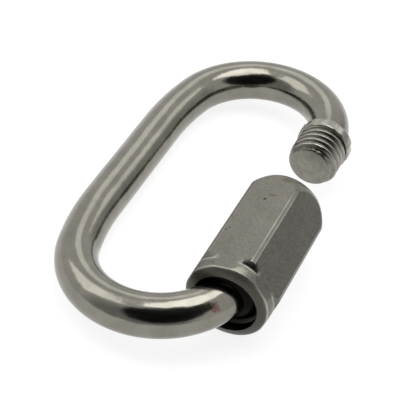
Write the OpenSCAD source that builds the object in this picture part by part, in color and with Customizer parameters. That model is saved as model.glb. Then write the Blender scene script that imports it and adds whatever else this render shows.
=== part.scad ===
// Screw-gate quick link, shown open.
// A round rod is bent to an oval that stays open on one long side. Each rod end is upset to a
// threaded shank, and the far one has a collar behind its thread. A long hexagonal sleeve nut
// runs on the near shank and is screwed across the opening, on to the far shank and up to the
// collar.
// The link is built flat with the nut's axis along Y, and is then laid down as it comes to
// rest: on its plain side and on the lowest corner of the nut.

/* [Rod and oval] */
// Diameter of the round rod
rod_d = 8; // [7:0.1:8.6]
// Clear length of the eye, from crown to crown
eye_length = 65.7; // [62:0.1:74]
// Clear width of the eye, between the two long sides
eye_width = 23.5; // [21:0.1:27]
// How much wider the oval is than its two crown radii, on the rod's centre line
crown_slack = 1.1; // [0.6:0.05:1.6]
// Radius of the slack shoulders of the plain side, on the rod's centre line
shoulder_r = 52; // [40:1:70]
// Length of the straight stretch between a crown and its shoulder
shoulder_lead = 1; // [0.5:0.1:2]
// How much thinner the rod is drawn at its bends
bend_thinning = 0.04; // [0.02:0.01:0.1]

/* [Threaded ends] */
// How far the upset shanks stand above the rod, all round
shank_upset = 1; // [0.8:0.05:1.2]
// Pitch of the thread
thread_pitch = 1.5; // [1.25:0.05:1.75]
// Length of the far shank, from its end face to the collar
far_shank = 6.9; // [6:0.1:8]
// Width of the opening between the two end faces
gate_gap = 13.4; // [12:0.1:15]
// Width of the chamfer on each end face
end_chamfer = 1.1; // [0.8:0.05:1.3]
// Length of that chamfer along the shank
end_chamfer_length = 1.5; // [0.9:0.1:1.8]
// How far the root of the near shank still stands proud of the bent rod, at the inner side
root_margin = 0.05; // [0.03:0.01:0.2]
// Length of the cone from the near shank down to the rod
root_cone = 0.7; // [0.4:0.1:1.2]

/* [Collar] */
// How far the collar stands above the shank, all round
collar_step = 0.4; // [0.3:0.05:0.8]
// Length of the collar, without its cone
collar_length = 2.3; // [1.6:0.1:2.6]
// Radius of the rounded edges of the collar
collar_round = 0.6; // [0.2:0.1:0.8]
// Length of the cone from the collar down to the rod
collar_cone = 1.2; // [0.6:0.1:1.8]
// Distance from the face of the collar to the start of the far crown
collar_lead = 1.15; // [0.8:0.05:1.6]

/* [Sleeve nut] */
// Wall of the nut between the thread and its flats
nut_wall = 2.7; // [2.4:0.05:3.2]
// How far the sharp corners of the hexagon are broken
corner_break = 0.2; // [0.05:0.01:0.3]
// Angle that the open nut is turned by about its axis
nut_turn = 6.6; // [0:0.1:59.9]
// How far the mouth of the open nut reaches past the near shank
mouth_overlap = 1.8; // [1.4:0.1:2]
// Clearance between the mouth and the bent rod
mouth_clearance = 0.13; // [0.08:0.01:0.3]
// Depth of the plain mouth
mouth_depth = 1.9; // [1.4:0.1:2.2]
// Length of the cone that leads from the mouth to the bore
mouth_cone = 0.8; // [0.4:0.1:1]
// Height of the sloping face round the mouth
nose_face = 0.75; // [0.4:0.05:1.2]
// Length over which the corners are turned down, from the mouth to the slope
nose_length = 2.75; // [2:0.05:3.2]
// Height of the slope from the turned corners up to the full ones
nose_slope = 1.3; // [0.6:0.1:1.8]
// How far the turned corners still stand outside the flats
nose_proud = 0.28; // [0.15:0.01:0.4]
// Width of the flat ring round the bore at the far face of the nut
top_ring = 1.6; // [1:0.1:2.2]
// Height of the chamfer on the far corners
top_slope = 4.2; // [3:0.1:5]
// Radius to which the far chamfer is crowned
top_crown_r = 14; // [10:1:20]
// Radius to which the face round the mouth and the slope behind it are crowned
slope_crown_r = 6; // [4:0.5:12]
// Width of the chamfer on the far edge of the bore
bore_chamfer = 0.4; // [0.2:0.05:0.7]
// Radial clearance between the bore and the crests of the thread
bore_clearance = 0.05; // [0.03:0.01:0.08]
// Clearance between the closed nut and the collar
stop_clearance = 0.2; // [0.1:0.05:0.4]

/* [Hidden] */
$fn = 40;

// Overrun of every cut
overrun = 1;
// How far the straight stretches of the rod reach over its bends
bend_lap = 0.25;

// A metric thread: shares of the pitch at its crest and root, and the angle of its flanks
crest_share = 1/8;
root_share = 1/4;
flank_angle = 30;
groove_depth = thread_pitch*(1 - crest_share - root_share)/2/tan(flank_angle);
// Share of a pitch from the end chamfer to the first groove
first_groove_share = 0.1;

// Radii, each worked out from what it fits
rod_r = rod_d/2;
shank_r = rod_r + shank_upset;
collar_r = shank_r + collar_step;
bore_r = shank_r + bore_clearance;
flat_r = shank_r + nut_wall;
corner_r = flat_r/cos(30) - corner_break;
nose_r = flat_r + nose_proud;

// The near shank runs into its crown until the bent rod would leave its side. With a as the
// angle of the bend there, crown_r*(1 - cos(a)) + rod_r/cos(a) is the shank less the margin.
function root_cos(reach) = ((crown_r - reach) + sqrt((crown_r - reach)*(crown_r - reach)
    + 4*crown_r*rod_r))/(2*crown_r);

// The oval, on the rod's centre line, with its middle at the origin
oval_w = eye_width + rod_d;
axis_x = oval_w/2;
crown_r = (oval_w - crown_slack)/2;
crown_x = axis_x - crown_r;
crown_y = (eye_length + rod_d)/2 - crown_r;
// The plain side leaves each crown on a short straight stretch and a slack shoulder
shoulder_rise = shoulder_r - crown_r;
shoulder_angle = acos((shoulder_r + crown_r - oval_w)/norm([shoulder_rise, shoulder_lead]))
    - atan2(shoulder_lead, shoulder_rise);
shoulder_y = crown_y - shoulder_rise*sin(shoulder_angle) - shoulder_lead*cos(shoulder_angle);

// Places along the nut's axis, from the collar down
collar_y = crown_y - collar_lead;
far_face_y = collar_y - far_shank;
near_face_y = far_face_y - gate_gap;
near_root_y = -crown_y - crown_r*sin(acos(root_cos(shank_r - root_margin)));
near_shank = near_face_y - near_root_y;

// The nut runs a whole number of turns, from the mouth over the near root to the collar
closed_top_y = collar_y - stop_clearance;
nut_turns = floor((closed_top_y - near_face_y)/thread_pitch);
nut_travel = nut_turns*thread_pitch;
open_top_y = closed_top_y - nut_travel;
mouth_y = near_root_y - mouth_overlap;
nut_length = open_top_y - mouth_y;

// The bent rod leaves the mouth on a slant, and the mouth clears it
mouth_reach = -mouth_y - crown_y;
bend_offset = crown_r - sqrt(crown_r*crown_r - mouth_reach*mouth_reach);
mouth_r = bend_offset + rod_r/cos(asin(mouth_reach/crown_r)) + mouth_clearance;

// How far the nut reaches from its axis in the direction a, measured from +X towards +Z
land_angle = 30 - acos(flat_r/corner_r);
function turned(a) = (((a - nut_turn)%60) + 60)%60;
function corner_angle(a) = min(turned(a), 60 - turned(a));
function nut_reach(a) = corner_r*cos(max(0, corner_angle(a) - land_angle));

// The slope at which the plain side and the nut both touch the ground
function settle(tilt, steps) = steps == 0 ? tilt
    : settle(asin((nut_reach(270 - tilt) - rod_r)/oval_w), steps - 1);
rest_tilt = settle(0, 16);

// Puts the flat link down at rest, with the middle of its outline over the origin
module laid_down() {
    shift_x = (nut_reach(-rest_tilt) - rod_r)/2;
    shift_z = axis_x*sin(rest_tilt) + rod_r;
    translate([-shift_x, 0, shift_z]) rotate([0, -rest_tilt, 0]) children();
}

// A stretch of the rod bent in the plane of the oval, from angle a over the angle sweep
module bent_rod(centre, r, a, sweep) {
    translate(centre) rotate([0, 0, a]) rotate_extrude(angle = sweep) translate([r, 0])
        circle(d = rod_d - bend_thinning);
}

// A straight stretch of the rod along Y, on the line x, that laps the bends at both its ends
module straight_rod(x, y0, y1) {
    translate([x, y0 - bend_lap, 0]) rotate([-90, 0, 0])
        cylinder(d = rod_d, h = y1 - y0 + 2*bend_lap);
}

// One crown with the stretch and the shoulder that lead to the plain side
module crown() {
    bent_rod([crown_x, crown_y, 0], crown_r, 0, 180 - shoulder_angle);
    translate([crown_x, crown_y, 0]) rotate([0, 0, -shoulder_angle])
        straight_rod(-crown_r, -shoulder_lead, 0);
    bent_rod([shoulder_r - axis_x, shoulder_y, 0], shoulder_r, 180 - shoulder_angle,
        shoulder_angle);
}

// The outline of one thread groove, cut inwards from the crest
module groove() {
    mouth = thread_pitch*(1 - crest_share)/2;
    root = thread_pitch*root_share/2;
    flare = overrun*tan(flank_angle);
    polygon([[shank_r - groove_depth, -root], [shank_r + overrun, -mouth - flare],
        [shank_r + overrun, mouth + flare], [shank_r - groove_depth, root]]);
}

// The outline of a threaded shank: its chamfered end face at zero and its body along +Y. The
// turns of the thread are rings of its own outline, one pitch apart.
module shank_outline(length) {
    last_place = (length - end_chamfer_length)/thread_pitch - (1 - crest_share)/2;
    difference() {
        polygon([[0, 0], [shank_r - end_chamfer, 0], [shank_r, end_chamfer_length],
            [shank_r, length], [0, length]]);
        for (place = [first_groove_share:last_place])
            translate([0, end_chamfer_length + thread_pitch*place]) groove();
    }
}

// The near end: shank and the cone from its root down to the rod
module near_end() {
    rotate_extrude() {
        shank_outline(near_shank);
        polygon([[0, near_shank], [shank_r, near_shank], [rod_r, near_shank + root_cone],
            [0, near_shank + root_cone]]);
    }
}

// The far end: shank, collar with rounded edges and the cone from the collar down to the rod
module far_end() {
    edge_r = collar_r - collar_round;
    rotate_extrude() {
        shank_outline(far_shank);
        translate([0, far_shank]) {
            square([edge_r, collar_length]);
            translate([0, collar_round]) square([collar_r, collar_length - 2*collar_round]);
            for (y = [collar_round, collar_length - collar_round])
                translate([edge_r, y]) circle(r = collar_round, $fn = 16);
            polygon([[0, collar_length], [edge_r, collar_length],
                [rod_r, collar_length + collar_cone], [0, collar_length + collar_cone]]);
        }
    }
}

module link_body() {
    color([0.62, 0.61, 0.58]) laid_down() {
        // The plain side, both crowns and the straight stubs behind the shanks
        straight_rod(-axis_x, -shoulder_y, shoulder_y);
        crown();
        mirror([0, 1, 0]) crown();
        straight_rod(axis_x, collar_y, crown_y);
        // The two threaded ends
        translate([axis_x, far_face_y, 0]) rotate([-90, 0, 0]) far_end();
        translate([axis_x, near_face_y, 0]) rotate([90, 0, 0]) near_end();
    }
}

// A crown of radius r over the straight line from a to b, inside the corner where their sides
// meet
module crowned(a, b, corner, r) {
    half = norm(b - a)/2;
    inward = [a[1] - b[1], b[0] - a[0]]/(2*half);
    centre = (a + b)/2 + inward*sqrt(r*r - half*half);
    intersection() {
        translate(centre) circle(r = r);
        polygon([a, corner, b, a + b - corner]);
    }
}

// The turned outline of the nut: face round the mouth, nose, slope, corners and far chamfer
module nut_envelope() {
    ring_r = bore_r + bore_chamfer + top_ring;
    face_start = [mouth_r, 0];
    face_end = [nose_r, nose_face];
    slope_start = [nose_r, nose_length];
    slope_end = [corner_r, nose_length + nose_slope];
    far_start = [corner_r, nut_length - top_slope];
    far_end = [ring_r, nut_length];
    rotate_extrude() {
        polygon([[0, 0], face_start, face_end, slope_start, slope_end, far_start, far_end,
            [0, nut_length]]);
        crowned(face_start, face_end, [nose_r, 0], slope_crown_r);
        crowned(slope_start, slope_end, [corner_r, nose_length], slope_crown_r);
        crowned(far_start, far_end, [corner_r, nut_length], top_crown_r);
    }
}

// The hole through the nut: mouth, lead-in cone, bore and far chamfer
module nut_hole() {
    rotate_extrude() polygon([[0, -overrun], [mouth_r, -overrun], [mouth_r, mouth_depth],
        [bore_r, mouth_depth + mouth_cone], [bore_r, nut_length - bore_chamfer],
        [bore_r + bore_chamfer, nut_length], [bore_r + bore_chamfer, nut_length + overrun],
        [0, nut_length + overrun]]);
}

module sleeve_nut() {
    color([0.5, 0.49, 0.45]) laid_down() translate([axis_x, mouth_y, 0]) rotate([-90, 0, 0])
        difference() {
            intersection() {
                rotate([0, 0, -nut_turn]) cylinder(r = flat_r/cos(30), h = nut_length, $fn = 6);
                nut_envelope();
            }
            nut_hole();
        }
}

link_body();
sleeve_nut();
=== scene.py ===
# %% [markdown]
# # An open quick link
# A quick link joins two chains. It is a steel rod, bent to an oval that stays open on one long
# side and threaded at each end, and a long hexagonal nut that screws across the opening. Here
# the nut is run back, so the link is open. The CAD model gives its size and its motion, and
# this lesson makes the surfaces that the eye sees. Bump and bevels on the CAD solids could
# do it, but a thread this coarse shows in the outline. So each surface is worked out anew
# from the same sizes, and then takes its solid's place.

# %% Load the frame
import math
import bpy
import bmesh
import numpy as np
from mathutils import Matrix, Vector


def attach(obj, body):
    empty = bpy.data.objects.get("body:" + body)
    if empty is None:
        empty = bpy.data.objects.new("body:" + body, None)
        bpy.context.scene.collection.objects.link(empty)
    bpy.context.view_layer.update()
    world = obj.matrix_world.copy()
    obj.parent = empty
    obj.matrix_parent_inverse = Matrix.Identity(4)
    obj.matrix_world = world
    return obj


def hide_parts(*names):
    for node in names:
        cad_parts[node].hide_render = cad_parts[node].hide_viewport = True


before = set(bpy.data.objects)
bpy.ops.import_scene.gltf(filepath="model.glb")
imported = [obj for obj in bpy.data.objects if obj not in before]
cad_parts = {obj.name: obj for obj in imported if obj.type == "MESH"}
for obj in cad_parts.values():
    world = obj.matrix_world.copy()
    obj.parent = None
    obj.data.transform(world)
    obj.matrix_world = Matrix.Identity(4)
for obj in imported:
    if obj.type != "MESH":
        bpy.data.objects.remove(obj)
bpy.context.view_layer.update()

# %% [markdown]
# ## Sizes
# A maker needs few sizes: the rod, the clear eye inside the oval, the thread and the nut's
# wall. The rest follows from what has to fit. It could be measured on the CAD solids, but the
# sums say why each length is what it is, so they are written out as in the CAD source. All
# sizes are in millimetres. Lengths along the nut's axis are called y, as in the flat link.

# %% Sizes of the rod and the oval
ROD_R = 4.0                              # radius of the round rod
EYE_LENGTH, EYE_WIDTH = 65.7, 23.5       # clear length and width inside the oval
CROWN_SLACK = 1.1                        # how much wider the oval is than its two crown radii
SHOULDER_R, SHOULDER_LEAD = 52.0, 1.0    # slack bend of the plain side, straight before it
OVAL_W = EYE_WIDTH + 2*ROD_R             # width of the oval on the rod's centre line
CROWN_R = (OVAL_W - CROWN_SLACK)/2
CROWN_Y = (EYE_LENGTH + 2*ROD_R)/2 - CROWN_R
AXIS_X = OVAL_W/2                        # the nut's axis runs along Y at this x
print("oval %.1f wide, bent to a radius of %.1f" % (OVAL_W, CROWN_R))

# %% Sizes of the threaded ends
SHANK_UPSET, PITCH = 1.0, 1.5            # how far a shank stands above the rod, thread's pitch
FAR_SHANK, GATE = 6.9, 13.4              # length of the far shank, width of the opening
END_CHAMFER, END_CHAMFER_L = 1.1, 1.5    # width and length of the chamfer on an end face
ROOT_MARGIN, ROOT_CONE = 0.05, 0.7       # near root proud of the bent rod, cone down to the rod
COLLAR_STEP, COLLAR_L, COLLAR_ROUND = 0.4, 2.3, 0.6
COLLAR_CONE, COLLAR_LEAD = 1.2, 1.15     # cone down to the rod, collar's face to the crown
SHANK_R = ROD_R + SHANK_UPSET
COLLAR_R = SHANK_R + COLLAR_STEP
COLLAR_Y = CROWN_Y - COLLAR_LEAD
FAR_Y = COLLAR_Y - FAR_SHANK             # end face of the far shank
NEAR_Y = FAR_Y - GATE                    # end face of the near shank
root_side = CROWN_R - (SHANK_R - ROOT_MARGIN)
root_cos = (root_side + math.sqrt(root_side**2 + 4*CROWN_R*ROD_R))/(2*CROWN_R)
ROOT_Y = -CROWN_Y - CROWN_R*math.sqrt(1 - root_cos**2)    # where the bend would leave the shank
print("near root %.2f, near face %.2f, far face %.2f" % (ROOT_Y, NEAR_Y, FAR_Y))

# %% Sizes of the nut
NUT_WALL, CORNER_BREAK = 2.7, 0.2        # wall over the thread, how far corners are broken
MOUTH_OVERLAP, MOUTH_CLEARANCE = 1.8, 0.13
STOP_CLEARANCE, TURNS_OPEN = 0.2, 13     # closed nut to collar, turns that it is run back
NUT_TURN = 6.6                           # degrees that the open nut is turned by
FLAT_R = SHANK_R + NUT_WALL              # half the width across the flats
CORNER_R = FLAT_R/math.cos(math.radians(30)) - CORNER_BREAK
LAND = 30 - math.degrees(math.acos(FLAT_R/CORNER_R))      # half a broken corner, in degrees
MOUTH_Y = ROOT_Y - MOUTH_OVERLAP
TOP_Y = COLLAR_Y - STOP_CLEARANCE - TURNS_OPEN*PITCH
NUT_L = TOP_Y - MOUTH_Y
mouth_reach = -MOUTH_Y - CROWN_Y         # how far round its crown the rod is at the mouth
slant = math.asin(mouth_reach/CROWN_R)
MOUTH_R = CROWN_R*(1 - math.cos(slant)) + ROD_R/math.cos(slant) + MOUTH_CLEARANCE
print("nut %.2f to %.2f, radius of its mouth %.2f" % (MOUTH_Y, TOP_Y, MOUTH_R))

# %% [markdown]
# ## From the flat link to the link at rest
# A real link lies on its plain side and on the lowest corner of its nut, so it is tilted a
# little. It could be built flat and its objects turned, but a finished piece keeps its object
# at the origin, unturned. So each point is worked out in the flat link, with the oval in the
# XY plane, and then the points are turned about Y and lifted.

# %% Find the tilt and lay a flat point down


def from_corner(angle):
    """Degrees to the nearest corner of the nut, for an angle from +X towards +Z."""
    away = np.mod(angle - NUT_TURN, 60)
    return np.minimum(away, 60 - away)


def nut_reach(angle):
    """Reach of the nut: a corner's radius times the cosine of the angle past the corner's land."""
    return CORNER_R*math.cos(math.radians(max(0, from_corner(angle) - LAND)))


tilt = 0
for _ in range(16):    # each round comes closer to the slope at which both sides touch
    tilt = math.degrees(math.asin((nut_reach(270 - tilt) - ROD_R)/OVAL_W))
c, s = math.cos(math.radians(tilt)), math.sin(math.radians(tilt))
REST_TURN = np.array([[c, 0, -s], [0, 1, 0], [s, 0, c]])
REST_SHIFT = np.array([(ROD_R - nut_reach(-tilt))/2, 0, AXIS_X*s + ROD_R])


def lay_down(points):
    """Millimetres in the flat link to metres in the frame: a turn about Y, then a shift."""
    return (np.asarray(points, float) @ REST_TURN.T + REST_SHIFT)/1000


print("tilt %.3f degrees, nut's axis at" % tilt, lay_down([AXIS_X, 0, 0]).round(5))

# %% [markdown]
# ## Grids into meshes
# Bent and turned steel is smooth, and two parameters describe its surface: one runs along the
# part and one runs round it. It could be modelled by hand with extrude and spin, but a grid
# of points is exact. Rows run along it and columns round it, and the last column meets the
# first. A thread's grid is sheared, so there the last column meets the first one some rows
# further on. Rows that share a place are merged afterwards, which closes each pole and seam.

# %% Make one piece from its grids
MERGE, EMPTY = 2e-6, 1e-7    # metres: points this close are one, edges this short are dropped
SHARP = 35                   # degrees between two faces, past which their edge isn't smoothed


def grid_faces(rows, cols, start, shear=0):
    """Quads between neighbours; the last column joins the first one, shear rows further on."""
    i, j = np.meshgrid(np.arange(rows - 1), np.arange(cols), indexing="ij")
    step = np.where(j == cols - 1, shear, 0)
    i, j, step = i.ravel(), j.ravel(), step.ravel()
    keep = i + 1 + step < rows
    i, j, step = i[keep], j[keep], step[keep]
    k = (j + 1) % cols
    return start + np.stack([i*cols + j, (i + 1)*cols + j, (i + 1 + step)*cols + k,
                             (i + step)*cols + k], 1)


def make_piece(name, shells):
    """One mesh from several shells of (points, surface values, shear), merged and closed.

    The three surface values are a share of a turn, a length in mm and a painted light from -1
    to 1: a painted highlight above 0, painted shade below it.
    """
    points, values, faces, start = [], [], [], 0
    for grid, along, shear in shells:
        rows, cols = grid.shape[:2]
        points.append(lay_down(grid).reshape(-1, 3))
        values.append(along.reshape(-1, 3))
        faces.append(grid_faces(rows, cols, start, shear))
        start += rows*cols
    mesh = bpy.data.meshes.new(name)
    mesh.from_pydata(np.concatenate(points), [], np.concatenate(faces))
    layer = mesh.attributes.new("along", "FLOAT_VECTOR", "POINT")
    layer.data.foreach_set("vector", np.concatenate(values).ravel())
    bm = bmesh.new()
    bm.from_mesh(mesh)
    bmesh.ops.remove_doubles(bm, verts=bm.verts, dist=MERGE)
    bmesh.ops.dissolve_degenerate(bm, edges=bm.edges, dist=EMPTY)
    bmesh.ops.recalc_face_normals(bm, faces=bm.faces)
    open_edges = sum(1 for e in bm.edges if len(e.link_faces) != 2)
    bm.to_mesh(mesh)
    bm.free()
    mesh.shade_smooth()
    mesh.set_sharp_from_angle(angle=math.radians(SHARP))
    obj = bpy.data.objects.new(name, mesh)
    bpy.context.scene.collection.objects.link(obj)
    print(name, "faces:", len(mesh.polygons), "open edges:", open_edges)
    return obj


print("quads of a grid of 3 by 4 points:", len(grid_faces(3, 4, 0)))

# %% [markdown]
# ## Turned outlines
# The shanks, the collar and both ends of the nut are turned on a lathe: an outline of radius
# against length, carried round the axis. A Screw modifier could carry it, but a dent and a
# hexagon need an outline of their own in each column. An outline is therefore an array of
# corners by columns. A sharp corner would catch no light, so each gets a short curve.

# %% Round an outline and carry it round the axis


def ring(y, r, turn):
    """One corner of an outline, the same or different in each column."""
    return np.stack([y + 0*turn, r + 0*turn], -1)


def rounded(outline, reach, steps=4, most=0.45):
    """Each inner corner becomes a quadratic curve that starts and ends at most reach away.

    outline has the shape (corners, columns, 2), reach is one length for each inner corner,
    and no curve takes more than the share most of the side next to it.
    """
    out = [outline[:1]]
    u = np.linspace(0, 1, steps)[:, None, None]
    for k in range(1, len(outline) - 1):
        before, corner, after = outline[k - 1], outline[k], outline[k + 1]
        # the small number keeps a side without length from dividing by zero
        gap_in = np.linalg.norm(corner - before, axis=-1, keepdims=True) + 1e-12
        gap_out = np.linalg.norm(after - corner, axis=-1, keepdims=True) + 1e-12
        a = corner + (before - corner)*np.minimum(reach[k - 1]/gap_in, most)
        b = corner + (after - corner)*np.minimum(reach[k - 1]/gap_out, most)
        out.append((1 - u)**2*a + 2*u*(1 - u)*corner + u**2*b)
    out.append(outline[-1:])
    return np.concatenate(out)


def densify(outline, longest):
    """Divides each side of an outline evenly, so that no step is longer than longest."""
    parts = []
    for a, b in zip(outline[:-1], outline[1:]):
        n = max(1, int(np.ceil(np.linalg.norm(b - a, axis=-1).max()/longest)))
        u = np.linspace(0, 1, n, endpoint=False)[:, None, None]
        parts.append(a*(1 - u) + b*u)
    return np.concatenate(parts + [outline[-1:]])


def turned_shell(outline, turn, shear=0, light_and_shade=0.0):
    """A surface from an outline of (y, radius): x and z are the radius times cosine and sine.

    turn is each column's share of a right-hand turn about +Y.
    """
    y, r = outline[..., 0], outline[..., 1]
    angle = -2*math.pi*turn
    points = np.stack([AXIS_X + r*np.cos(angle), y + 0*angle, r*np.sin(angle)], -1)
    length = np.concatenate([[0], np.cumsum(np.hypot(np.diff(y[:, 0]), np.diff(r[:, 0])))])
    # The third value is the painted light: a painted highlight above 0, painted shade below it
    along = np.stack([np.broadcast_to(turn, y.shape), np.broadcast_to(length[:, None], y.shape),
                      np.broadcast_to(light_and_shade, y.shape)], -1)
    return points, along, shear


square = np.stack([ring(y, r, np.zeros(1)) for y, r in ((0, 0), (0, 1), (1, 1))])
print("points of an outline with one rounded corner:", len(rounded(square, (0.1,))))

# %% [markdown]
# ## The bent rod
# A maker bends one straight bar round a die. A curve with a round bevel could stand for it,
# but its handles would be set by eye. Here the centre line is worked out as the bender makes
# it: its heading turns by length over radius in each bend and keeps still between them, so
# that every join is smooth.

# %% Centre line of the rod
HIDDEN = 3.0                     # how far the rod starts inside the near shank
shoulder_rise = SHOULDER_R - CROWN_R
SHOULDER_A = (math.acos((SHOULDER_R + CROWN_R - OVAL_W)/math.hypot(shoulder_rise, SHOULDER_LEAD))
              - math.atan2(SHOULDER_LEAD, shoulder_rise))
SHOULDER_Y = (CROWN_Y - shoulder_rise*math.sin(SHOULDER_A)
              - SHOULDER_LEAD*math.cos(SHOULDER_A))


def centre_line(start_y, end_y, step=0.5):
    """Stretches of (length, bend radius) joined end to end; returns places, headings, lengths.

    In a bend, a place is its centre plus the radius, turned to stand square to the heading.
    """
    crown, shoulder = CROWN_R*(math.pi - SHOULDER_A), SHOULDER_R*SHOULDER_A
    parts = [(start_y + CROWN_Y, 0), (crown, CROWN_R), (SHOULDER_LEAD, 0),
             (shoulder, SHOULDER_R), (2*SHOULDER_Y, 0), (shoulder, SHOULDER_R),
             (SHOULDER_LEAD, 0), (crown, CROWN_R), (end_y - CROWN_Y, 0)]
    lengths, heads, spots = [0.0], [-math.pi/2], [np.array([AXIS_X, start_y])]
    for length, radius in parts:
        if length < 1e-9:        # a stretch without length adds nothing
            continue
        n = max(2, int(round(length/step)))
        s = np.linspace(0, length, n + 1)[1:]
        head, spot = heads[-1], spots[-1]
        if radius:
            h = head - s/radius
            centre = spot + radius*np.array([math.sin(head), -math.cos(head)])
            p = centre + radius*np.stack([-np.sin(h), np.cos(h)], 1)
        else:
            h = np.full(n, head)
            p = spot + s[:, None]*np.array([math.cos(head), math.sin(head)])
        lengths.extend(lengths[-1] + s)
        heads.extend(h)
        spots.extend(p)
    return np.array(spots), np.array(heads), np.array(lengths)


spots, heads, lengths = centre_line(-CROWN_Y + HIDDEN, CROWN_Y)
print("length of the rod along its middle: %.1f mm" % lengths[-1])

# %% [markdown]
# ## The rod's section
# Drawn bar is round all along, and in such wide bends it stays round. A bevelled curve would
# give the same skin, but a grid also tells each point how far along the bar it is, which
# the drawn streaks of the finish follow.

# %% Carry the round section along the line


def rod_shell(columns=72):
    """Centre plus radius times (cosine outwards, sine upwards), closed at both hidden ends."""
    around = np.linspace(0, 2*math.pi, columns, endpoint=False)
    outward = np.stack([-np.sin(heads), np.cos(heads)], 1)
    grid = np.empty((len(lengths), columns, 3))
    grid[..., :2] = spots[:, None] + (ROD_R*np.cos(around))[:, None]*outward[:, None]
    grid[..., 2] = ROD_R*np.sin(around)
    ends = [np.broadcast_to([*spots[k], 0.0], (1, columns, 3)) for k in (0, -1)]
    grid = np.concatenate([ends[0], grid, ends[1]])
    s = np.concatenate([lengths[:1], lengths, lengths[-1:]])
    along = np.stack([np.broadcast_to(around/(2*math.pi), grid.shape[:2]),
                      np.broadcast_to(s[:, None], grid.shape[:2]), np.zeros(grid.shape[:2])], -1)
    return grid, along, 0


bent_rod = make_piece("bent_rod", [rod_shell()])

# %% [markdown]
# ## A true thread
# A die cuts the thread as one groove that winds along the shank. Rings one pitch apart, as on
# the CAD solid, look the same from the side, but they lead nowhere at the end face. In a true
# thread the radius depends on one phase only: the length over the pitch, less the share of a
# turn. The grid is sheared along the helix, so that its rows follow the crests, and every row
# is kept between two places, which cuts both ends square.

# %% The groove and its rows
CREST_SHARE, ROOT_SHARE, FLANK = 1/8, 1/4, 30    # shares of the pitch, and degrees
FLANK_L = PITCH*(1 - CREST_SHARE - ROOT_SHARE)/2
NEW_DEPTH = FLANK_L/math.tan(math.radians(FLANK))
WORN_DEPTH, SOFTEN = 0.65*NEW_DEPTH, 0.12        # the photo's thread is worn shallow and soft
# Painted highlight on the crests, painted shade in the grooves
CREST_HIGHLIGHT, GROOVE_SHADE = 0.4, 0.8


def rise(away, start, length):
    """A share that is 0 up to start, climbs evenly, and is 1 from a length further on."""
    return np.clip((away - start)/length, 0, 1)


def thread_drop(y, turn, grow=0.0):
    """Depth of the groove: 0 on the flat crest, which is wider by grow on each side, then
    down the flank in proportion to the length, then flat.

    A sine is taken from the share of the flank, so that the flank starts and ends softly.
    """
    phase = (y - FAR_Y)/PITCH - turn
    away = np.abs(phase - np.round(phase))*PITCH
    share = rise(away, CREST_SHARE*PITCH/2 + grow, FLANK_L)
    return WORN_DEPTH*(share - SOFTEN*np.sin(2*math.pi*share))


def thread_painted_light(y, turn):
    """A painted highlight on the crest, and painted shade in proportion to the groove's depth."""
    return CREST_HIGHLIGHT - GROOVE_SHADE*thread_drop(y, turn)/WORN_DEPTH


def thread_rows(low, high, turn, per_turn, below=2, spare=3):
    """Row number over the rows in a turn, plus the share of a turn, times the pitch.

    The rows start some turns below low and have spare turns in all, and are cut at both ends.
    """
    rows = int(math.ceil(per_turn*(spare + (high - low)/PITCH))) + 1
    y = low - below*PITCH + (np.arange(rows)[:, None]/per_turn + turn)*PITCH
    return np.clip(y, low, high)


print("thread depth: %.3f mm, %.3f mm as worn" % (NEW_DEPTH, WORN_DEPTH))

# %% [markdown]
# ## The end faces
# A shank's end is faced square and chamfered, so that the nut finds its way on. It could be a
# plain cone, but the real one is worn round by the nut. So its radius is half that of a cone
# and half that of a quarter ellipse, and the thread runs out over it.

# %% Face and chamfer of a shank
PER_TURN = 16                    # rows in one turn of a shank's thread
TURN = np.linspace(0, 1, 96, endpoint=False)
FACE_SHARES = (0, 0.2, 0.4, 0.6, 0.8, 0.93, 1)
RUN_OUT = (0.1, 0.4)             # where the groove starts behind an end face, and over what length


def end_face(y, turn):
    """Rows from the middle of an end face out to its chamfer."""
    edge = SHANK_R - END_CHAMFER
    return np.stack([ring(y, edge*k, turn) for k in FACE_SHARES])


def chamfered(away):
    """Radius of a shank at a distance from its end face: half a cone and half a quarter ellipse."""
    u = np.clip(away/END_CHAMFER_L, 0, 1)
    return SHANK_R - END_CHAMFER*(1 - 0.5*u - 0.5*np.sqrt(1 - (1 - u)**2))


print("radius of an end face: %.2f mm" % chamfered(0))

# %% [markdown]
# ## The far end
# The far shank has a collar behind its thread, which stops the nut. Its rim is dented, and it
# carries a painted highlight. Dents could be sculpted one by one, but a sum of sine waves round
# the rim, kept where it is positive, gives uneven dents of the right size, and the same sum
# says how bright the rim's painted highlight is.

# %% Far shank, collar and cone
DENT_WAVES = ((5, 0.1), (8, 0.45), (13, 0.3), (21, 0.7))    # waves round the rim, start of each
DENT_IN, DENT_ALONG, DEEPEST = 0.05, 0.08, 2     # mm for 1 of the sum, most of the sum
RIM_H, RIM_HIGHLIGHT = 0.3, 0.6       # rim's height above the shank, its painted highlight
CLEAN_TIP = (0.4, 1.0)           # thread's painted light starts here, is full a length further on
SINK = 0.03                      # how far a cone's thin end goes under the rod's skin


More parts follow.
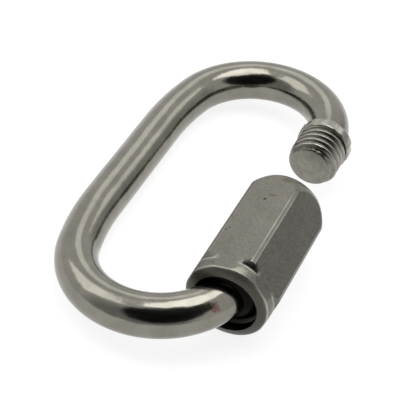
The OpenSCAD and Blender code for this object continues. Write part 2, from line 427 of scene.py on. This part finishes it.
def far_end(turn):
    """End face, thread that runs out over the chamfer, collar and cone, closed inside the rod."""
    y = thread_rows(FAR_Y, COLLAR_Y, turn, PER_TURN)
    r = chamfered(y - FAR_Y) - thread_drop(y, turn)*rise(y - FAR_Y, *RUN_OUT)
    # Painted highlight on the crests and painted shade in the grooves, none at the very tip
    light_and_shade = thread_painted_light(y, turn)*rise(y - FAR_Y, *CLEAN_TIP)
    back = COLLAR_Y + COLLAR_L
    collar = np.stack([ring(COLLAR_Y, r[-1], turn), ring(COLLAR_Y, COLLAR_R, turn),
                       ring(back, COLLAR_R, turn), ring(back, COLLAR_R - COLLAR_ROUND, turn),
                       ring(back + COLLAR_CONE, ROD_R - SINK, turn),
                       ring(back + COLLAR_CONE, 0, turn)])
    collar = rounded(collar, (COLLAR_ROUND, COLLAR_ROUND, 0.1, 0.02), 7)
    waves = sum(np.sin(2*math.pi*(count*turn + start)) for count, start in DENT_WAVES)
    dent = np.clip(waves, 0, DEEPEST)
    rim = rise(collar[..., 1] - SHANK_R, 0, RIM_H)
    collar[..., 1] -= DENT_IN*dent*rim
    collar[..., 0] -= DENT_ALONG*dent*rim*(collar[..., 0] > COLLAR_Y + COLLAR_L/2)
    # Painted highlight round the collar's rim, uneven with the dents
    highlight = RIM_HIGHLIGHT*rim*(0.6 + 0.2*waves)
    return [turned_shell(end_face(FAR_Y, turn), turn),
            turned_shell(np.stack([y, r], -1), turn, PER_TURN, light_and_shade),
            turned_shell(collar, turn, 0, highlight)]


far = make_piece("far_threaded_end", far_end(TURN))

# %% [markdown]
# ## The near end
# The near shank is longer and has no collar: inside the nut's mouth a short cone joins it to
# the bent rod, and its first turns carry painted shade. The shade could be painted at its place
# in the material, but as a value that each point carries it follows the shank's own length.

# %% Near shank and cone
ROOT_FADE = (0.3, 1.2)           # where the groove starts past the root, and over what length
SHADE_FADE = (0.6, 3.0)           # where the painted shade starts to thin out, and over what length


def near_end(turn):
    """Cone, thread with painted shade in its first turns, and end face, closed inside the rod."""
    y = thread_rows(ROOT_Y, NEAR_Y, turn, PER_TURN)
    fade = rise(y - ROOT_Y, *ROOT_FADE)*rise(NEAR_Y - y, *RUN_OUT)
    r = chamfered(NEAR_Y - y) - thread_drop(y, turn)*fade
    cone = np.stack([ring(ROOT_Y - ROOT_CONE, 0, turn),
                     ring(ROOT_Y - ROOT_CONE, ROD_R - SINK, turn), ring(ROOT_Y, SHANK_R, turn)])
    # Painted shade: the whole cone, and the first turns, fading out along the shank
    light_and_shade = thread_painted_light(y, turn) - 1 + rise(y - ROOT_Y, *SHADE_FADE)
    return [turned_shell(cone, turn, 0, -1.0),
            turned_shell(np.stack([y, r], -1), turn, PER_TURN, np.maximum(light_and_shade, -1)),
            turned_shell(end_face(NEAR_Y, turn), turn)]


near = make_piece("near_threaded_end", near_end(TURN))

# %% [markdown]
# ## The sleeve nut
# The maker turns both ends of a hexagon bar. A prism cut by a turned solid could stand for
# that, but Booleans leave long thin faces that shade badly. So each column of the nut has its
# own outline: the turned outline, cut where it would leave the hexagon. The columns crowd
# together at the six corners, whose sharp edge is broken to a narrow land.

# %% Columns of the hexagon


def hexagon_turns():
    """Shares of a turn, crowded together on both edges of each corner's land."""
    side = np.concatenate([[0, 1.2, 1.9, LAND - 0.2, LAND, LAND + 0.2, 2.8, 3.4, 4.5, 6, 8],
                           np.arange(10, 30, 2.5)])
    offsets = np.concatenate([-side[:0:-1], side, [30]])
    angles = (NUT_TURN + 60*np.arange(6)[:, None] + offsets).ravel()
    return np.sort(np.mod(-angles/360, 1))


def hexagon_radius(turn):
    """Radius of the bar: flats by one over the cosine, broken at the corners by the land."""
    away = from_corner(-360*turn)
    return np.where(away <= LAND, CORNER_R, FLAT_R/np.cos(np.radians(30 - away)))


HEX_TURN = hexagon_turns()
print("columns of the nut:", len(HEX_TURN))

# %% [markdown]
# ## The nut's turned ends
# At the mouth the corners are turned down almost to the flats, and a small slope leads up to
# each full corner. The far end has one long chamfer. Both could be straight cones, but their
# light falls off gently in the photo, so they are crowned: each is an arc over the cone's
# line. The turned corners also taper a little towards the mouth.

# %% Outside of the nut
BORE_R, BORE_CHAMFER = SHANK_R + 0.05, 0.4       # the nut runs on its thread with 0.05 clearance
NOSE_PROUD, NOSE_TAPER = 0.36, 0.3               # turned corners outside the flats, their taper
NOSE_FACE, NOSE_L, NOSE_SLOPE, NOSE_CROWN = 0.75, 2.75, 1.3, 6.0
TOP_RING, TOP_SLOPE, TOP_CROWN = 1.6, 4.2, 14.0  # flat ring round the bore, chamfer, its arc
NOSE_R, RING_R = FLAT_R + NOSE_PROUD, BORE_R + BORE_CHAMFER + TOP_RING
PLAIN, FACE_EDGE, NOSE_EDGE, SLOPE_EDGE, TOP_EDGE, RING_EDGE = 0.04, 0.14, 0.05, 0.08, 0.3, 0.2


def crowned_place(r, low, high, y_low, y_high, crown, side):
    """Length at the radius r on an arc over the chord between two (radius, length) points.

    It is the length of the arc's centre, plus side times the root of the arc's radius squared
    less the squared distance from the centre in radius.
    """
    chord = np.array([high - low, y_high - y_low])
    half = np.linalg.norm(chord)/2
    inward = np.array([chord[1], -chord[0]])/(2*half)
    inward *= -np.sign(inward[0])
    centre = np.array([low + high, y_low + y_high])/2 + inward*math.sqrt(crown**2 - half**2)
    return centre[1] + side*np.sqrt(crown**2 - (r - centre[0])**2)


def strip_radius(y):
    """Radius of the turned corners at a length: the same kind of arc, solved for the radius."""
    a, b = np.array([NOSE_R - NOSE_TAPER, NOSE_FACE]), np.array([NOSE_R, NOSE_L])
    half = np.linalg.norm(b - a)/2
    inward = np.array([a[1] - b[1], b[0] - a[0]])/(2*half)
    centre = (a + b)/2 + inward*math.sqrt(NOSE_CROWN**2 - half**2)
    return centre[0] + math.sqrt(NOSE_CROWN**2 - (y - centre[1])**2)


def nut_outside(turn, steps=7):
    """Crowned face round the mouth, turned corners, slope, side, crowned far chamfer, flat ring.

    Each column follows the turned outline up to its own radius of the bar, and then the bar.
    """
    bar = hexagon_radius(turn)
    nose, low_r = np.minimum(bar, NOSE_R), NOSE_R - NOSE_TAPER
    low = np.minimum(bar, low_r)
    share = np.linspace(0, 1, steps)
    face = [MOUTH_R + (low - MOUTH_R)*k for k in share]
    face = [ring(crowned_place(r, MOUTH_R, low_r, 0, NOSE_FACE, NOSE_CROWN, -1), r, turn)
            for r in face]
    place = [NOSE_FACE + (NOSE_L - NOSE_FACE)*k for k in share[1:]]
    strip = [ring(y, np.minimum(bar, strip_radius(y)), turn) for y in place]
    slope = [nose + (bar - nose)*k for k in share[1:]]
    slope = [ring(crowned_place(np.maximum(r, NOSE_R), NOSE_R, CORNER_R, NOSE_L,
                                NOSE_L + NOSE_SLOPE, NOSE_CROWN, -1), r, turn) for r in slope]
    top = [bar + (RING_R - bar)*k for k in share]
    top = [ring(crowned_place(r, CORNER_R, RING_R, NUT_L - TOP_SLOPE, NUT_L, TOP_CROWN, 1), r, turn)
           for r in top]
    corners = np.stack(face + strip + slope + top + [ring(NUT_L, BORE_R + BORE_CHAMFER, turn)])
    corners[..., 0] += MOUTH_Y
    plain = [PLAIN]*(steps - 2)
    return rounded(corners, plain + [FACE_EDGE] + plain + [NOSE_EDGE] + plain
                   + [SLOPE_EDGE, TOP_EDGE] + plain + [RING_EDGE])


outside = densify(nut_outside(HEX_TURN), 1.2)    # steps of at most 1.2 mm along the flats
print("rows of the nut's outside:", len(outside))

# %% [markdown]
# ## The bore
# The nut is bored through, threaded inside and opened at the mouth, so that it passes the
# bent rod when it is run back. Its thread could be left out, since little of it is seen, but
# the open nut shows its first ridges. They fit the shank's grooves with a little play.

# %% Inside of the nut
MOUTH_DEPTH, MOUTH_CONE = 1.9, 0.8               # plain mouth, cone that leads in to the bore
NUT_PER_TURN, RIDGE_PLAY, LEAD_FADE = 12, 0.06, 0.8
# Painted shade inside the nut's mouth and in its bore
MOUTH_SHADE, BORE_SHADE = -0.75, -0.9


def nut_inside(turn):
    """Plain mouth, lead-in cone, inner thread and bore chamfer."""
    low, high = MOUTH_Y + MOUTH_DEPTH + MOUTH_CONE, TOP_Y - BORE_CHAMFER
    y = thread_rows(low, high, turn, NUT_PER_TURN)
    r = BORE_R - thread_drop(y, turn, RIDGE_PLAY)*rise(y - low, 0, LEAD_FADE)
    lead = np.stack([ring(MOUTH_Y, MOUTH_R, turn), ring(MOUTH_Y + MOUTH_DEPTH, MOUTH_R, turn),
                     ring(low, BORE_R, turn)])
    top = np.stack([ring(high, r[-1], turn), ring(TOP_Y, BORE_R + BORE_CHAMFER, turn)])
    return [turned_shell(lead, turn, 0, MOUTH_SHADE),
            turned_shell(np.stack([y, r], -1), turn, NUT_PER_TURN, BORE_SHADE),
            turned_shell(top, turn, 0, BORE_SHADE)]


inside = nut_inside(HEX_TURN)
print("rows of the nut's inner thread:", len(inside[1][0]))

# %% [markdown]
# ## Painted light on the nut
# Painted highlights lie on the corners' lands, the upper one brightest, and on the nose's rims,
# and painted shade on the face round the mouth and the small slopes. The Geometry node's
# Pointiness could find the edges, but it would treat all of them alike, and only some of them
# are bright. So each point gets its painted light from its place.

# %% Painted light of each point, and the nut as one piece
# Painted highlights on the corners' lands and on the nose's rims
LAND_HIGHLIGHT, UPPER_LAND_HIGHLIGHT, LAND_WIDTH = 0.25, 0.75, 0.4     # width in degrees
EDGE_HIGHLIGHT, NOSE_WIDTH, RIM_WIDTH, FACE_WIDTH = 0.6, 0.2, 0.1, 0.15
# Painted shade on the small slopes, darkest on the upper one
SLOPE_SHADE, UPPER_SLOPE_SHADE, SLOPE_HALF = 0.12, 0.85, 12    # half a slope, in degrees
# Painted shade on the face round the mouth; fade of the lands' painted highlights
FACE_SHADE, LAND_FADE = 0.55, 3.0
SIDE_Y, SLOPE_R = NOSE_L + NOSE_SLOPE - 0.2, NOSE_R + 0.05   # where sides and slopes start


def bell(away, width):
    """A bell curve: e to the minus square of the distance over the width."""
    return np.exp(-(away/width)**2)


def nut_painted_light(outline, turn):
    """Painted highlights across each land's edges and both rims of the nose, less painted shade.

    The face round the mouth and the small slopes get painted shade, the upper slope nearly black.
    """
    y, r = outline[..., 0] - MOUTH_Y, outline[..., 1]
    angle = -360*turn
    away = from_corner(angle)
    upper = np.abs(np.mod(angle, 360) - 60 - NUT_TURN) < 30
    beyond = y > SIDE_Y
    plain = beyond*rise(NUT_L - TOP_SLOPE - y, 0, LAND_FADE)
    land = bell(away - LAND, LAND_WIDTH)*plain*np.where(upper, UPPER_LAND_HIGHLIGHT, LAND_HIGHLIGHT)
    rim = EDGE_HIGHLIGHT*bell(y - NOSE_L, NOSE_WIDTH)*bell(r - NOSE_R, RIM_WIDTH)
    edge = EDGE_HIGHLIGHT*bell(y - NOSE_FACE, FACE_WIDTH)
    on_slope = (y > NOSE_L) & (r > SLOPE_R) & ~beyond & (away < SLOPE_HALF) & (rim < 0.05)
    slope = np.where(upper, UPPER_SLOPE_SHADE, SLOPE_SHADE)*on_slope
    face = FACE_SHADE*(y < NOSE_FACE - FACE_WIDTH)
    return np.maximum(np.maximum(land, rim), edge) - slope - face


painted_outside = turned_shell(outside, HEX_TURN, 0, nut_painted_light(outside, HEX_TURN))
nut = make_piece("nut_steel", [painted_outside] + inside)

# %% [markdown]
# ## Which body carries what
# On the bench the link comes apart into two pieces. The rod and its two ends are one piece of
# steel, so all three ride on the link, and the nut rides on its own body.

# %% Ride on the bodies
for piece in (bent_rod, far, near):
    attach(piece, "link")
    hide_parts("link_body")
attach(nut, "nut")
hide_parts("sleeve_nut")
print("riding:", [piece.name for piece in (bent_rod, far, near, nut)])

# %% [markdown]
# ## Nodes
# All of it is austenitic stainless steel, and the finishes differ in how they were made and
# worn. A finish could be painted as a picture, but nodes that work in millimetres stay sharp
# from any distance. Colours are written as sRGB hex values, and one function turns them to
# the linear values that Blender works with.

# %% Helpers for nodes


def linear(hexa):
    """An sRGB hex colour as linear red, green, blue and alpha."""
    c = np.array([int(hexa[k:k + 2], 16) for k in (1, 3, 5)])/255
    c = np.where(c <= 0.04045, c/12.92, ((c + 0.055)/1.055)**2.4)
    return (*c.tolist(), 1.0)


def grey(value):
    """A ramp stop that is a plain number."""
    return (value, value, value, 1.0)


def add(tree, kind, inputs=None, **settings):
    """Adds one node; inputs maps a socket to a value or to the output that feeds it."""
    node = tree.nodes.new(kind)
    for key, value in settings.items():
        setattr(node, key, value)
    for key, value in (inputs or {}).items():
        if isinstance(value, bpy.types.NodeSocket):
            tree.links.new(value, node.inputs[key])
        else:
            node.inputs[key].default_value = value
    return node


def ramp(tree, factor, stops):
    """A colour ramp from (place, colour) pairs."""
    node = add(tree, "ShaderNodeValToRGB", {"Fac": factor})
    points = node.color_ramp.elements
    while len(points) < len(stops):
        points.new(0.5)
    for point, (place, colour) in zip(points, stops):
        point.position, point.color = place, colour
    return node.outputs["Color"]


def noise(tree, vector, scale, detail, stretch=(1.0, 1.0, 1.0)):
    """Noise whose grain is one over scale units wide, drawn out by one over stretch."""
    mapped = add(tree, "ShaderNodeMapping", {"Vector": vector, "Scale": stretch})
    return add(tree, "ShaderNodeTexNoise", {"Vector": mapped.outputs[0], "Scale": scale,
                                            "Detail": detail}).outputs["Fac"]


print("middle grey in linear light: %.3f" % linear("#808080")[0])

# %% [markdown]
# ## Marks and painted light
# A used link has single marks, such as a pit or a smear. Its edges carry painted highlights and
# its hollows painted shade. A texture painter would draw both. Here a mark is a spot at a place
# in millimetres, torn by noise, and the painted light is the value that each point carries, so
# that both stay put in any view.

# %% Helpers for marks, painted light and steel
# Colours of the painted highlight and of the painted shade
PAINTED_HIGHLIGHT, PAINTED_SHADE = "#E0DED6", "#11100E"


def marks(tree, mm, colour, spots):
    """Lays spots over a colour: each is (place, stretch, radius, hex), all in millimetres.

    A spot is full where the distance times the noise is under 0.3 of its radius, and gone
    where it is over 0.7, which leaves a ragged edge.
    """
    ragged = noise(tree, mm, 3.0, 2.0)
    for place, stretch, radius, hexa in spots:
        away = add(tree, "ShaderNodeVectorMath", {0: mm, 1: place}, operation="SUBTRACT")
        drawn = add(tree, "ShaderNodeVectorMath", {0: away.outputs[0], 1: stretch},
                    operation="MULTIPLY")
        size = add(tree, "ShaderNodeVectorMath", {0: drawn.outputs[0]}, operation="LENGTH")
        torn = add(tree, "ShaderNodeMath", {0: size.outputs["Value"], 1: ragged},
                   operation="MULTIPLY")
        share = ramp(tree, add(tree, "ShaderNodeMath", {0: torn.outputs[0], 1: radius},
                               operation="DIVIDE").outputs[0], [(0.3, grey(1.0)), (0.7, grey(0.0))])
        layer = add(tree, "ShaderNodeMix", {0: share, 6: colour, 7: linear(hexa)},
                    data_type="RGBA")
        colour = layer.outputs[2]
    return colour


def paint_light_and_shade(tree, colour, along, patchy):
    """Painted highlight: the value times the noise patchy; painted shade: the value below 0."""
    light_and_shade = add(tree, "ShaderNodeSeparateXYZ", {0: along}).outputs["Z"]
    highlight = add(tree, "ShaderNodeMath", {0: light_and_shade, 1: patchy}, operation="MULTIPLY", use_clamp=True)
    shade_share = add(tree, "ShaderNodeMath", {0: light_and_shade, 1: -1.0}, operation="MULTIPLY", use_clamp=True)
    for share, hexa in ((highlight, PAINTED_HIGHLIGHT), (shade_share, PAINTED_SHADE)):
        colour = add(tree, "ShaderNodeMix", {0: share.outputs[0], 6: colour, 7: linear(hexa)},
                     data_type="RGBA").outputs[2]
    return colour


def new_steel(name):
    """An empty metal material: it, its tree, its shader, its places in mm, its surface values."""
    material = bpy.data.materials.new(name)
    material.use_nodes = True
    tree = material.node_tree
    shader = tree.nodes["Principled BSDF"]
    shader.inputs["Metallic"].default_value = 1.0
    place = add(tree, "ShaderNodeTexCoord").outputs["Object"]
    mm = add(tree, "ShaderNodeVectorMath", {0: place, 3: 1000.0}, operation="SCALE").outputs[0]
    along = add(tree, "ShaderNodeAttribute", attribute_name="along").outputs["Vector"]
    return material, tree, shader, mm, along


def finish_steel(tree, shader, colour, rough, height, strength):
    """Links colour, roughness and a bump at most 0.1 mm high to the shader."""
    tree.links.new(colour, shader.inputs["Base Color"])
    tree.links.new(rough, shader.inputs["Roughness"])
    bump = add(tree, "ShaderNodeBump", {"Height": height, "Strength": strength,
                                        "Distance": 0.0001})
    tree.links.new(bump.outputs[0], shader.inputs["Normal"])


# The colour of the painted highlight, in linear light
print("rubbed steel in linear light:", [round(v, 3) for v in linear(PAINTED_HIGHLIGHT)])

# %% [markdown]
# ## Polished rod
# Bright drawn bar is pulled through a die, which leaves faint streaks along it, and is then
# tumbled until it mirrors the room. The tumbling leaves low waves about 3 mm long, so that
# the edges of the reflections waver. A smooth mirror would look like chrome, so streaks set
# the roughness, and the waves are a bump. The streaks are drawn 0.6 mm wide and 8 mm long,
# wider than real ones, so that they show.

# %% Steel of the rod
ROD_STREAKS = (40.0, 0.12, 1.0)          # streaks round the rod, and to a mm along it
# A faint red-brown mark on the near crown
ROD_MARKS = [((12.4, -32.1, 10.8), (0.4, 1.0, 1.2), 0.72, "#705651")]


def polished_rod():
    """Bright drawn bar, tumbled: clear reflections that waver, faint streaks along the bar."""
    material, tree, shader, mm, along = new_steel("Stainless steel, drawn and polished")
    streak = noise(tree, along, 1.0, 3.0, ROD_STREAKS)
    cloud = noise(tree, mm, 0.35, 4.0)
    colour = ramp(tree, cloud, [(0.3, linear("#7B7970")), (0.7, linear("#88857C"))])
    colour = marks(tree, mm, colour, ROD_MARKS)
    rough = ramp(tree, streak, [(0.3, grey(0.12)), (0.75, grey(0.21))])
    waves = add(tree, "ShaderNodeMix", {0: 0.8, 2: streak, 3: cloud}).outputs[0]
    finish_steel(tree, shader, colour, rough, waves, 0.7)
    return material


bent_rod.data.materials.append(polished_rod())
print("rod:", bent_rod.data.materials[0].name)

# %% [markdown]
# ## Dull nut
# The nut keeps the drawn skin of the hexagon bar: it was never polished, so it reflects only
# broad light and dark, and its colour is finely mottled. A single grey would look like
# plastic, so a fine noise of about 0.3 mm mixes two close greys and sets the roughness too.
# The pits, smears and nicks that the photo shows are single marks.

# %% Steel of the nut
NUT_MARKS = [
    ((11.1, -7.63, 15.84), (1.0, 1.0, 1.0), 0.25, "#1E1C18"),       # large pit
    ((8.34, -16.96, 15.12), (1.0, 1.0, 1.0), 0.16, "#26241F"),      # small pit
    ((7.9, -17.69, 15.0), (0.7, 1.0, 1.0), 0.14, "#34312A"),        # shallow pit beside it
    ((11.84, -6.15, 16.04), (0.35, 1.2, 1.0), 0.35, "#5F594C"),     # smear
    ((15.88, -2.24, 15.76), (1.0, 0.8, 1.0), 0.28, "#C4C2B8"),      # pale nick at the far end
    ((8.0, -26.4, 15.03), (0.7, 0.7, 1.0), 0.16, "#A9A79C"),        # two nicks at the mouth
    ((8.6, -25.9, 15.19), (0.6, 0.6, 1.0), 0.14, "#A9A79C"),
    ((13.05, -1.2, 16.36), (0.5, 1.0, 1.0), 0.6, "#625B49")]        # brown smudge


def satin_nut():
    """Hexagon bar with a dull drawn skin: two close greys, finely mottled, with single marks."""
    material, tree, shader, mm, along = new_steel("Stainless steel, dull drawn hexagon")
    fine = noise(tree, mm, 3.2, 6.0, (1.0, 0.6, 1.0))
    broad = noise(tree, mm, 0.25, 2.0)
    mixed = add(tree, "ShaderNodeMix", {0: 0.25, 2: fine, 3: broad}).outputs[0]
    colour = ramp(tree, mixed, [(0.3, linear("#605E56")), (0.7, linear("#7B7971"))])
    colour = marks(tree, mm, colour, NUT_MARKS)
    # Painted highlights and painted shade from each point's value
    colour = paint_light_and_shade(tree, colour, along, broad)
    rough = ramp(tree, fine, [(0.3, grey(0.28)), (0.7, grey(0.38))])
    finish_steel(tree, shader, colour, rough, fine, 0.15)
    return material


nut.data.materials.append(satin_nut())
print("nut:", nut.data.materials[0].name)

# %% [markdown]
# ## Cut thread
# A threading die leaves fine rings round the axis. Streaks along the shank would look drawn, so
# the noise runs round it, in lines of about 0.25 mm. The points' own values paint highlights on
# the crests and the collar's rim, and paint shade in the grooves and in the near shank's first
# turns.

# %% Steel of the threads
TOOL_LINES = (3.0, 4.0, 1.0)             # patches round the shank, and lines to a mm along it


def cut_thread():
    """Steel as the die leaves it: fine rings round the axis, painted shade in the grooves."""
    material, tree, shader, mm, along = new_steel("Stainless steel, cut thread")
    lines = noise(tree, along, 1.0, 3.0, TOOL_LINES)
    cloud = noise(tree, mm, 0.8, 4.0)
    colour = ramp(tree, cloud, [(0.3, linear("#78756D")), (0.7, linear("#8A877F"))])
    # Painted highlights on crests and the collar's rim, painted shade in grooves and the mouth
    colour = paint_light_and_shade(tree, colour, along, cloud)
    rough = ramp(tree, lines, [(0.3, grey(0.22)), (0.7, grey(0.32))])
    finish_steel(tree, shader, colour, rough, lines, 0.1)
    return material


thread_steel = cut_thread()
for piece in (far, near):
    piece.data.materials.append(thread_steel)
print("threads:", thread_steel.name)

# %% [markdown]
# ## A white floor
# The photo's background is plain white. A white diffuse floor would turn grey in the link's
# shadow and would need strong lamps. So most of the white is a glow, and only a part is
# diffuse paper, which keeps a soft shadow under the link.

# %% Floor
FLOOR_HALF = 0.9                 # metres from the middle to each side


def white_floor():
    """White paper: a plain glow plus a diffuse part, on which the object's soft shadow falls."""
    material = bpy.data.materials.new("White paper floor")
    material.use_nodes = True
    tree = material.node_tree
    tree.nodes.clear()
    paper = add(tree, "ShaderNodeBsdfDiffuse", {"Color": linear("#909090")})
    glow = add(tree, "ShaderNodeEmission", {"Strength": 0.84})
    both = add(tree, "ShaderNodeAddShader", {0: paper.outputs[0], 1: glow.outputs[0]})
    add(tree, "ShaderNodeOutputMaterial", {"Surface": both.outputs[0]})
    return material


corners = [(x*FLOOR_HALF, y*FLOOR_HALF, 0) for x, y in ((-1, -1), (1, -1), (1, 1), (-1, 1))]
floor_mesh = bpy.data.meshes.new("floor")
floor_mesh.from_pydata(corners, [], [(0, 1, 2, 3)])
floor = bpy.data.objects.new("floor", floor_mesh)
bpy.context.scene.collection.objects.link(floor)
floor.data.materials.append(white_floor())
print("floor:", 2*FLOOR_HALF, "m wide")

# %% [markdown]
# ## A white room with a dark side
# Bright steel is mostly a picture of the room. In an all-white room the rod would fade into
# the background. In the photo its crowns carry black bands, which mirror the dark side of the
# room, where the photographer stands. So the world is white, and three round patches of it
# are darker. They could be cards on stands, but a world needs no objects.

# %% Room
# Each patch: its direction, the cosine of the angle at which it starts and at which it is
# full, and its brightness there
DARK_SIDES = (((0.3, -0.6, 0.74), 0.76, 0.79, 0.03), ((0.03, -0.98, 0.2), 0.42, 0.75, 0.45),
              ((0.75, 0.65, 0.1), 0.75, 0.97, 0.6))

world = bpy.data.worlds.new("studio")
world.use_nodes = True
bpy.context.scene.world = world
sky = world.node_tree
sky.nodes.clear()
heading = add(sky, "ShaderNodeTexCoord").outputs["Generated"]
room = grey(1.0)
for side, start, full, dark in DARK_SIDES:
    facing = add(sky, "ShaderNodeVectorMath", {0: heading, 1: side}, operation="DOT_PRODUCT")
    wall = ramp(sky, facing.outputs["Value"], [(start, grey(1.0)), (full, grey(dark))])
    room = add(sky, "ShaderNodeMix", {0: 1.0, 6: room, 7: wall}, data_type="RGBA",
               blend_type="MULTIPLY").outputs[2]
light = add(sky, "ShaderNodeBackground", {"Color": room, "Strength": 0.95})
add(sky, "ShaderNodeOutputWorld", {"Surface": light.outputs[0]})
print("dark patches in the room:", len(DARK_SIDES))

# %% [markdown]
# ## Lamps
# The photo's rod carries pale streaks, which mirror soft lamps. A sun or a point lamp would
# make hard glints, so these are square soft boxes: one above the link, one like a window on
# its left, and two weak ones behind it.

# %% Soft boxes
LAMP_TARGET = Vector((0, 0, 0.006))      # metres: the middle of the link
LAMPS = (("top_lamp", (0.0, 0.045, 0.306), 0.19, 2.8),       # name, place, side, brightness
         ("window", (-0.28, -0.035, 0.29), 0.24, 1.5),
         ("left_lamp", (-0.19, 0.36, 0.33), 0.17, 0.9),
         ("right_lamp", (0.17, 0.36, 0.33), 0.14, 1.0))


def soft_lamp(name, place, size, brightness):
    """A square lamp that looks at the link. Its power is pi times its area times its brightness."""
    data = bpy.data.lights.new(name, "AREA")
    data.shape, data.size, data.energy = "SQUARE", size, math.pi*size*size*brightness
    lamp = bpy.data.objects.new(name, data)
    lamp.location = place
    lamp.rotation_euler = (LAMP_TARGET - Vector(place)).to_track_quat("-Z", "Y").to_euler()
    bpy.context.scene.collection.objects.link(lamp)


for lamp in LAMPS:
    soft_lamp(*lamp)
print("lamps:", [name for name, *_ in LAMPS])

# %% [markdown]
# ## The camera
# The photo was taken from about a quarter of a metre away, in front of the near crown and
# above it. The camera could be placed by eye, but the place, the angles and the focal length
# here were fitted to the outline of the rod and the nut, so that both lie on the photo's.

# %% Camera
CAMERA_AT = (0.051911, -0.184113, 0.181854)      # metres
CAMERA_TURN = (46.286, -8.30008, 24.49647)       # degrees about X, Y and Z
FOCAL_PX, PHOTO_PX, SENSOR = 1363.737, 400, 36   # focal length in the photo's pixels, mm

camera = bpy.data.objects.new("camera", bpy.data.cameras.new("camera"))
camera.location = CAMERA_AT
camera.rotation_euler = [math.radians(angle) for angle in CAMERA_TURN]
camera.data.lens, camera.data.sensor_width = FOCAL_PX/PHOTO_PX*SENSOR, SENSOR
camera.data.clip_start = 0.01
bpy.context.scene.collection.objects.link(camera)
bpy.context.scene.camera = camera
bpy.context.scene.view_settings.view_transform = "Standard"
print("camera's lens: %.1f mm" % camera.data.lens)
